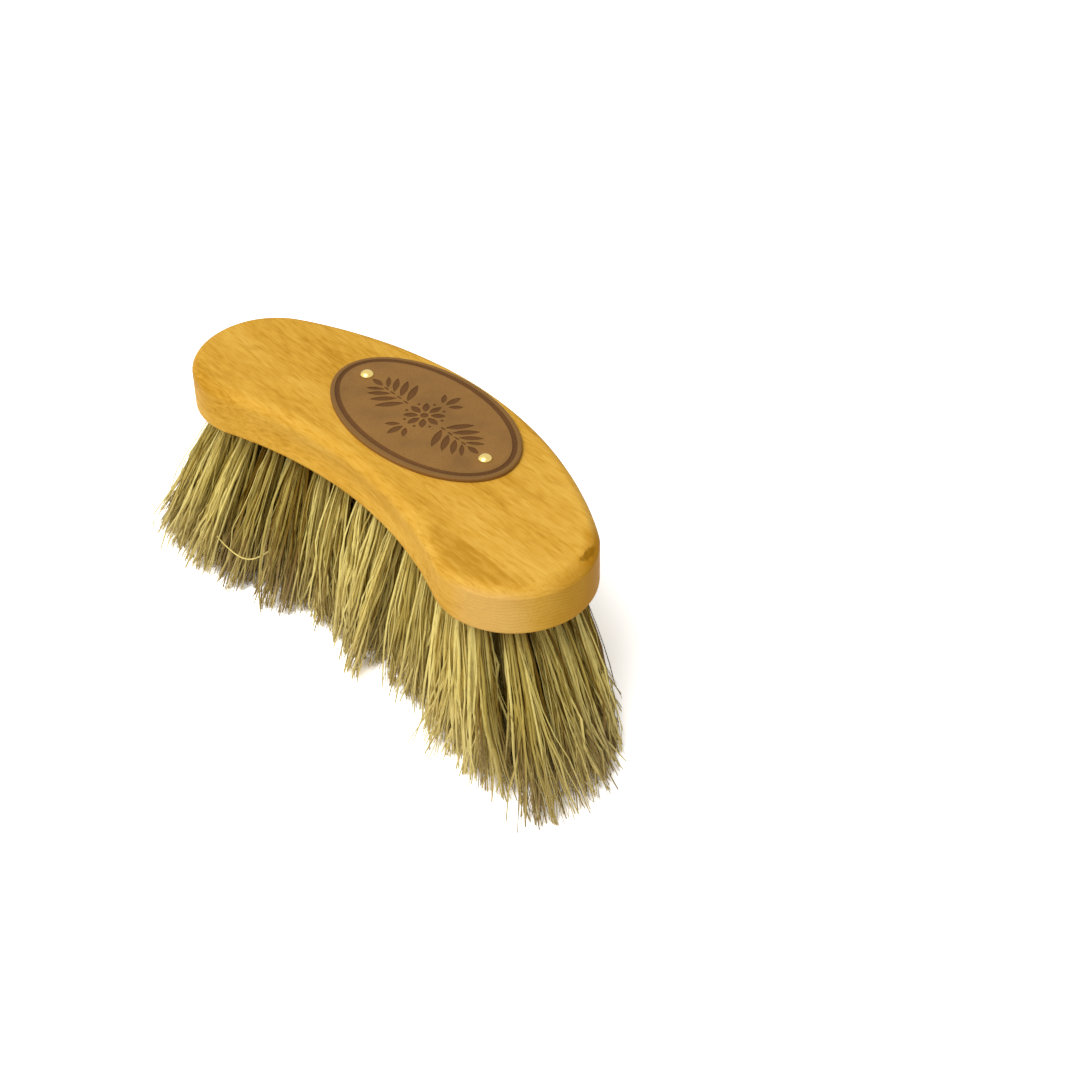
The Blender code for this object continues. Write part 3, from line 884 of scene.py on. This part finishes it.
class GROOMING_OT_tufts(Operator):
    """Models every fibre of the tufts, row by row"""

    bl_idname = "grooming.tufts"
    bl_label = "Fibre tufts"

    sides, rings = 4, 9
    root_spread, root_depth = 0.0024, 0.0028
    # A tuft of the far end has so many times the fibres
    far_end_share = 1.6
    # How far a tuft aims off its place, and how far its tips stray along X as a whole and by ribbon
    aim_error, tuft_sway, ribbon_sway = 0.0009, 0.0034, 0.0018
    # How far the middle tufts' tips are pushed towards the near end
    drift = 0.002
    # Waist tufts this near to the outermost aim out as a whole where their reach passes own_reach
    outer_row, own_reach = 0.005, 0.0040
    # Painted light and shade: how much darker the fibres are, mostly on the waist side, by X from the
    # block's middle
    painted_fringe_shading = (
        (-0.085, 0.00), (-0.078, -0.15), (-0.071, -0.45), (-0.064, -0.12), (-0.057, 0.34), (-0.050, 0.34),
        (-0.043, 0.06), (-0.036, -0.04), (-0.030, -0.12), (-0.018, -0.30), (-0.004, -0.14), (0.012, -0.28),
        (0.030, -0.32), (0.046, -0.62), (0.063, -0.66), (0.072, -0.14), (0.078, 0.08), (0.085, 0.40),
    )
    # How far beyond the outermost tufts the waist side's fibres may aim, by X from the block's middle
    overhang = (
        (-0.085, 0.0018), (-0.072, 0.0010), (-0.055, 0.0012), (-0.044, 0.0034), (-0.036, 0.0024),
        (-0.028, -0.0002), (-0.014, 0.0012), (-0.008, 0.0024), (-0.002, 0.0000), (0.005, 0.0034),
        (0.012, 0.0066), (0.017, 0.0074), (0.022, 0.0044), (0.030, 0.0034), (0.040, 0.0024),
        (0.050, 0.0040), (0.056, 0.0100), (0.061, 0.0038), (0.066, 0.0010), (0.071, 0.0010),
        (0.078, 0.0086), (0.085, 0.0082),
    )

    def execute(self, context):
        brush = context.scene.grooming_brush
        field = TuftField(brush)
        finish = plant_fibre(brush.tufts)
        template = self.template()
        for row, node in zip(field.rows(), ROW_NODES):
            piece = self.row_piece(node.replace("tuft", "fibre"), finish, template, field, row)
            finish_piece(piece, [node], 60.0)
        bpy.data.meshes.remove(template)
        return {"FINISHED"}

    def template(self):
        """A straight fibre of unit length and radius, up the Z axis from its root."""
        bm = bmesh.new()
        prism(bm, self.sides, height=1.0, middle=(0, 0, 0.5))
        for ring in range(1, self.rings - 1):
            whole = bm.verts[:] + bm.edges[:] + bm.faces[:]
            height = ring / (self.rings - 1)
            bmesh.ops.bisect_plane(bm, geom=whole, plane_co=(0, 0, height), plane_no=(0, 0, 1))
        mesh = bpy.data.meshes.new("fibre_template")
        bm.to_mesh(mesh)
        bm.free()
        return mesh

    def row_piece(self, name, finish, template, field, row):
        """All fibres of one row as one mesh, with its fibre's tone and the way along it at each vertex."""
        rng = np.random.default_rng((SEED, row + field.rows_each_way))
        unit = np.empty(3 * len(template.vertices))
        template.vertices.foreach_get("co", unit)
        unit = unit.reshape(-1, 3)
        tufts = [self.tuft(rng, field, x, y) for x, y in field.places(row)]
        tones = np.concatenate([tuft["tone"] for tuft in tufts])
        bm = bmesh.new()
        for _ in tones:
            bm.from_mesh(template)
        piece = object_of(name, bm, finish)
        coordinates = np.concatenate([self.shape(unit, tuft) for tuft in tufts])
        piece.data.vertices.foreach_set("co", coordinates.ravel())
        give(piece, "tone", np.repeat(tones, len(unit)))
        give(piece, "along", np.tile(unit[:, 2], len(tones)))
        piece.data.update()
        return piece

    def tuft(self, rng, field, x, y):
        """Roots, tips, bends, thicknesses and tones of one tuft's fibres."""
        settings = field.settings
        ribbons, end_share = settings.ribbons, x / field.end_x
        count = round(settings.fibres * (self.far_end_share if x < -0.9 * field.end_x else 1.0))
        within = self.sunflower(rng, count)
        ribbon, aim = self.cling(rng, within, ribbons)
        aim = np.array([x, y]) + aim * settings.fan + rng.normal(0, self.aim_error, 2)
        outermost = self.reach(field, x, y)
        if y < field.bean.span(x)[0] + self.outer_row:
            aim[:, 1] -= max(0.0, outermost - self.own_reach)
        tip_x, tip_y = field.tips(*aim.T, self.edge(rng, outermost, ribbon, ribbons))
        sway = rng.normal(0, self.tuft_sway) + rng.normal(0, self.ribbon_sway, ribbons)[ribbon]
        middling = 1 - end_share**2
        tip_x += sway * (1 - 0.9 * abs(end_share) ** 3) + self.drift * middling
        lift = self.lift(rng, ribbon, ribbons)
        middle = np.array(field.bean.middle)
        root = np.array([x, y]) + middle + within * self.root_spread
        return {
            "root": np.column_stack([root, np.full(count, BLOCK_LOW.z + self.root_depth)]),
            "tip": np.column_stack([tip_x + middle[0], tip_y + middle[1], lift]),
            "lean": np.array(field.lean(x, y)),
            "bulge": 0.3 * middling if y < 0 else 0.0,
            "spread": np.interp(end_share, (-0.85, -0.7, 0.4, 0.8), (1.25, 1.6, 1.6, 2.1)),
            "bow": self.swerve(rng, 0.0010, 0.0012, ribbon, ribbons),
            "wave": self.swerve(rng, 0.0010, 0.0005, ribbon, ribbons),
            "waves": rng.uniform(0.9, 3.0, count),
            "phase": rng.uniform(0, 1, count),
            "radius": settings.fibre_radius * rng.uniform(0.6, 1.35, count),
            "turn": rng.uniform(0, 2 * math.pi, count),
            "tone": self.tones(rng, field, x, y, ribbon),
        }

    def cling(self, rng, within, ribbons):
        """Which ribbon each fibre clings to, and where it aims, both in a disc of radius 1."""
        count = len(within)
        astray, loose, close = 0.9, 0.38, 0.10
        middles = self.sunflower(rng, ribbons) * 0.8 + rng.normal(0, 0.16, (ribbons, 2))
        distance = np.linalg.norm(within[:, None] - middles[None], axis=2)
        ribbon = np.argmin(distance + rng.normal(0, 0.1, (count, ribbons)), axis=1)
        stray = rng.random(count)
        scatter = np.select([stray < 0.05, stray < 0.28], [astray, loose], close)[:, None]
        return ribbon, 0.8 * middles[ribbon] + 0.2 * within + rng.normal(0, 1, (count, 2)) * scatter

    def edge(self, rng, outermost, ribbon, ribbons):
        """How far out each fibre may aim: up to its ribbon's edge, and a few a little further."""
        count = len(ribbon)
        band, ragged, spilling, spill, limit = 0.0028, 0.0006, 0.06, 0.0013, 0.0012
        edge = rng.uniform(outermost - band, outermost, ribbons)[ribbon] + rng.normal(0, ragged, count)
        return np.minimum(edge + np.where(rng.random(count) < spilling, spill, 0.0), outermost + limit)

    def lift(self, rng, ribbon, ribbons):
        """How far each tip stands off the floor. Up to three of a tuft all but touch it."""
        count = len(ribbon)
        own, shared, shorter_share, shorter, gap = 0.0013, 0.0016, 0.07, 0.004, 0.0001
        lift = np.abs(rng.normal(0, own, count)) + rng.uniform(0, shared, ribbons)[ribbon]
        lift += np.where(rng.random(count) < shorter_share, shorter, 0.0)
        lift[rng.integers(0, count, 3)] = 0.0
        return lift + gap

    def swerve(self, rng, own, shared, ribbon, ribbons):
        """A random way off for each fibre, and another that it shares with its ribbon."""
        return rng.normal(0, own, (len(ribbon), 2)) + rng.normal(0, shared, (ribbons, 2))[ribbon]

    def reach(self, field, x, y):
        """How far beyond the outermost tufts the fibres of a tuft may aim."""
        waist_side = np.interp(x, *zip(*self.overhang))
        if abs(x) > 0.8 * field.end_x:
            middle, crown_side = (0.0030, -0.0024) if x > 0 else (0.0010, 0.0)
            return np.interp(y, (-0.010, 0.001, 0.010), (waist_side, middle, crown_side))
        return waist_side if y < 0.0 else 0.0008

    def tones(self, rng, field, x, y, ribbon):
        """How dark each fibre is. A ribbon is pale, olive or brown, and a few fibres differ from theirs."""
        pale, olive, brown = 0.22, 0.56, 0.88
        by_ribbon, by_fibre, by_tuft, odd_share = 0.05, 0.09, 0.07, 0.12
        kinds = rng.random(ribbon.max() + 1)
        base = np.select([kinds < 0.4, kinds < 0.7], [pale, olive], brown)
        base = base + rng.normal(0, by_ribbon, len(kinds))
        # Painted light and shade: the fringe's tones shift by place, with more contrast at the near end
        if x > 0.92 * field.end_x:
            contrast, shading_weight = 0.4, np.interp(y, (-0.011, -0.003), (1.0, -0.6))
        else:
            contrast, shading_weight = 0.0, 1.0 if y < 0.01 else 0.4
        base = base + (base - 0.5) * contrast
        painted_shift = np.interp(x, *zip(*self.painted_fringe_shading)) * shading_weight
        tone = base[ribbon] + rng.normal(0, by_fibre, len(ribbon)) + rng.normal(0, by_tuft) + painted_shift
        odd = rng.random(len(ribbon)) < odd_share
        return np.clip(np.where(odd, rng.random(len(ribbon)), tone), 0, 1)

    def sunflower(self, rng, count):
        """Evenly spread places in a disc of radius 1, turned at random."""
        number = np.arange(count) + 0.5
        turn = number * math.pi * (3 - math.sqrt(5)) + rng.uniform(0, 2 * math.pi)
        return np.sqrt(number / count)[:, None] * spokes(turn)

    def shape(self, unit, tuft):
        """The vertices of a tuft's fibres: those of the unit fibre, bent along each fibre's line."""
        share = unit[None, :, 2]
        way = tuft["tip"] - tuft["root"]
        line = tuft["root"][:, None] + way[:, None] * share[..., None]
        fan = way[:, :2] - tuft["lean"]
        line[..., :2] += fan[:, None] * (share ** tuft["spread"] - share)[..., None]
        line[..., :2] += tuft["bulge"] * tuft["lean"] * (share * (1 - share))[..., None]
        swing = np.sin(2 * math.pi * (tuft["waves"][:, None] * share + tuft["phase"][:, None]))
        swing = (swing * share)[..., None] * tuft["wave"][:, None]
        bow = (4 * share * (1 - share))[..., None] * tuft["bow"][:, None]
        line[..., :2] += swing + bow
        twist = tuft["turn"][:, None] + share
        radius = tuft["radius"][:, None] * (1 - 0.1 * share - 0.35 * share**6)
        wide, thin = unit[None, :, 0] * radius * 1.25, unit[None, :, 1] * radius * 0.65
        line[..., 0] += wide * np.cos(twist) - thin * np.sin(twist)
        line[..., 1] += wide * np.sin(twist) + thin * np.cos(twist)
        return line.reshape(-1, 3)


class GROOMING_OT_strays(Operator):
    """Models the loose fibres that stand out of the tufts"""

    bl_idname = "grooming.strays"
    bl_label = "Loose fibres"

    sides = 5
    points = 22
    pale = 0.1
    other_tones = [0.3, 0.6, 0.9]

    def execute(self, context):
        brush = context.scene.grooming_brush
        field = TuftField(brush)
        rng = np.random.default_rng((SEED, len(ROW_NODES)))
        bm = bmesh.new()
        tones = []
        lines = [self.curl(field)]
        lines += [self.stray(rng, field, *where) for where in self.starts(field)]
        for line in lines:
            stack_rings(bm, self.tube(line, brush.tufts.fibre_radius * rng.uniform(0.6, 0.95)))
            tones.append(rng.choice(self.other_tones) if tones else self.pale)
        piece = object_of("loose_fibres", bm, bpy.data.materials["plant_fibre"])
        along = np.repeat(np.linspace(0, 1, self.points), self.sides)
        give(piece, "tone", np.repeat(tones, len(along)))
        give(piece, "along", np.tile(along, len(lines)))
        finish_piece(piece, [], 60.0)
        return {"FINISHED"}

    def starts(self, field):
        """The tuft nearest the waist side in every fourth row."""
        for row in range(4 - field.rows_each_way, field.rows_each_way + 1, 4):
            yield field.places(row)[0]

    def stray(self, rng, field, x, y):
        """A fibre that starts in a tuft and ends off its way, with a slight curl."""
        reach, off_way, end_share, curl, root_depth = 0.0015, 0.005, 0.35, 0.0009, 0.002
        start = np.array([x, y])
        tip = np.column_stack(field.tips(x, y, reach))[0]
        tip = tip + rng.normal(0, off_way, 2) * (end_share if abs(x) > 0.9 * field.end_x else 1.0)
        share = np.linspace(0, 1, self.points)[:, None]
        flat = start + (tip - start) * share + np.array(field.bean.middle)
        swing = np.sin(share * rng.uniform(3, 6) + rng.uniform(0, 6)) * rng.normal(0, curl, 2)
        height = BLOCK_LOW.z + root_depth + (rng.uniform(0.001, 0.006) - BLOCK_LOW.z) * share
        return np.column_stack([flat + swing * share**2, height])

    def curl(self, field):
        """The pale fibre that hangs out of the waist side's far tufts in a bow, and ends among them."""
        share = np.linspace(0, 0.57, self.points)[:, None]
        start, end = np.array([-0.0642, -0.0369, 0.0188]), np.array([-0.0386, -0.0226, 0.0369])
        sag = np.array([0.0102, -0.0041, -0.0076]) * np.sin(math.pi * share**0.9)
        ending = np.array([0.0, 0.004, 0.0]) * (share / share.max()) ** 6
        return np.array([*field.bean.middle, 0.0]) + start + (end - start) * share + sag + ending

    def tube(self, line, radius):
        """Rings of a thin tube round a line."""
        heading = np.gradient(line, axis=0)
        heading /= np.linalg.norm(heading, axis=1)[:, None]
        never_along = (0.3, 0.2, 0.93)
        aside = np.cross(heading, never_along)
        aside /= np.linalg.norm(aside, axis=1)[:, None]
        upward = np.cross(heading, aside)
        turns = np.linspace(0, 2 * math.pi, self.sides, endpoint=False)[:, None]
        round_about = [np.cos(turns) * side + np.sin(turns) * up for side, up in zip(aside, upward)]
        return [point + radius * ways for point, ways in zip(line, round_about)]


class GROOMING_OT_stage(Operator):
    """Adds the floor, lamps, world and camera"""

    bl_idname = "grooming.stage"
    bl_label = "Stage"

    lamp_target = (0, 0, 0.06)
    # Where the camera looks, from the floor below the middle of the block's lobes
    camera_target = (0.0457, 0.0307, 0.05125)

    def execute(self, context):
        scene = context.scene
        brush = scene.grooming_brush
        self.floor(brush.stage)
        scene.world = self.world(brush.stage)
        self.lamp("key", brush.stage.key, size=0.9, azimuth=12, elevation=58, distance=1.3)
        self.lamp("fill", brush.stage.fill, size=1.2, azimuth=-45, elevation=35, distance=1.5)
        scene.camera = self.camera(brush.stage, Bean(brush.block).middle)
        scene.view_settings.view_transform = "Standard"
        return {"FINISHED"}

    def seen(self, finish):
        """1 for rays that show the background: from the camera, a mirror or glass."""
        path = finish.node("ShaderNodeLightPath").socket.node
        kinds = ("Camera", "Glossy", "Transmission")
        camera, glossy, glass = (Value(finish, path.outputs[f"Is {kind} Ray"]) for kind in kinds)
        return finish.math("MINIMUM", camera + glossy + glass, 1.0)

    def floor(self, stage):
        """A wide disc, white where it is seen, and greyer in the light that it throws back."""
        paper = Finish("white_floor")
        seen = self.seen(paper)
        shade = paper.blend(seen, (0.8, 0.8, 0.8), (2.3, 2.3, 2.3))
        x, y, _ = paper.parts_of(paper.place())
        far_off = paper.step((x**2 + y**2) ** 0.5, 0.45, 0.9) * seen
        diffuse = paper.node("ShaderNodeBsdfDiffuse", sockets={"Color": shade})
        white = paper.node("ShaderNodeEmission", sockets={"Strength": 1.0})
        mixed = paper.node("ShaderNodeMixShader", sockets={0: far_off, 1: diffuse, 2: white})
        bm = bmesh.new()
        bmesh.ops.create_circle(bm, cap_ends=True, segments=96, radius=stage.floor_radius)
        floor = object_of("floor", bm, paper.ended(mixed))
        floor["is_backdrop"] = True

    def world(self, stage):
        """White where it is seen, and dimmer where it lights."""
        studio = Finish("studio", "worlds")
        strength = stage.sky + self.seen(studio) * (1.0 - stage.sky)
        sky = {"Color": (1.0, 1.0, 1.0, 1.0), "Strength": strength}
        return studio.ended(studio.node("ShaderNodeBackground", sockets=sky), "ShaderNodeOutputWorld")

    def lamp(self, name, power, size, azimuth, elevation, distance):
        """A square lamp, with its angles in degrees."""
        light = bpy.data.lights.new(name, "AREA")
        light.energy = power
        light.size = size
        angles = math.radians(azimuth), math.radians(elevation)
        self.aimed(light, Vector(self.lamp_target), *angles, distance)

    def camera(self, stage, middle):
        lens = bpy.data.cameras.new("camera")
        lens.lens = stage.lens
        lens.sensor_width = 36.0
        lens.clip_start = 0.01
        along, across, up = self.camera_target
        target = Vector((middle.x + along, middle.y + across, up))
        return self.aimed(lens, target, stage.azimuth, stage.elevation, stage.distance, stage.roll)

    def aimed(self, data, target, azimuth, elevation, distance, roll=0.0):
        """A lamp or camera that looks at a target from an azimuth and an elevation."""
        made = bpy.data.objects.new(data.name, data)
        bpy.context.scene.collection.objects.link(made)
        level = math.cos(elevation)
        back = Vector((math.sin(azimuth) * level, -math.cos(azimuth) * level, math.sin(elevation)))
        turned = back.to_track_quat("Z", "Y").to_matrix().to_4x4() @ Matrix.Rotation(roll, 4, "Z")
        made.matrix_world = Matrix.Translation(target + back * distance) @ turned
        return made


class GROOMING_PT_sidebar(Panel):
    """Lists the brush's pieces and settings"""

    bl_label = "Grooming brush"
    bl_space_type = "VIEW_3D"
    bl_region_type = "UI"
    bl_category = "Grooming brush"

    def draw(self, context):
        brush = context.scene.grooming_brush
        for group in ("block", "badge", "nails", "tufts", "stage"):
            box = self.layout.box()
            box.operator(f"grooming.{group}")
            if group == "tufts":
                box.operator("grooming.strays")
            for name in getattr(brush, group).__annotations__:
                box.prop(getattr(brush, group), name)


SETTINGS = (BlockSettings, BadgeSettings, NailSettings, TuftSettings, StageSettings, BrushSettings)
PIECES = (GROOMING_OT_block, GROOMING_OT_badge, GROOMING_OT_nails, GROOMING_OT_tufts, GROOMING_OT_strays)
CLASSES = (*SETTINGS, *PIECES, GROOMING_OT_stage, GROOMING_PT_sidebar)


def register():
    for kind in CLASSES:
        bpy.utils.register_class(kind)
    bpy.types.Scene.grooming_brush = PointerProperty(type=BrushSettings)


def unregister():
    del bpy.types.Scene.grooming_brush
    for kind in reversed(CLASSES):
        bpy.utils.unregister_class(kind)


def main():
    register()
    bpy.ops.grooming.block()
    bpy.ops.grooming.badge()
    bpy.ops.grooming.nails()
    bpy.ops.grooming.tufts()
    bpy.ops.grooming.strays()
    bpy.ops.grooming.stage()
    boxes = {"cad": CAD_BOX, "visual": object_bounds()}
    sizes = {name: [list(map(float, corner)) for corner in box] for name, box in boxes.items()}


if __name__ == "__main__":
    main()
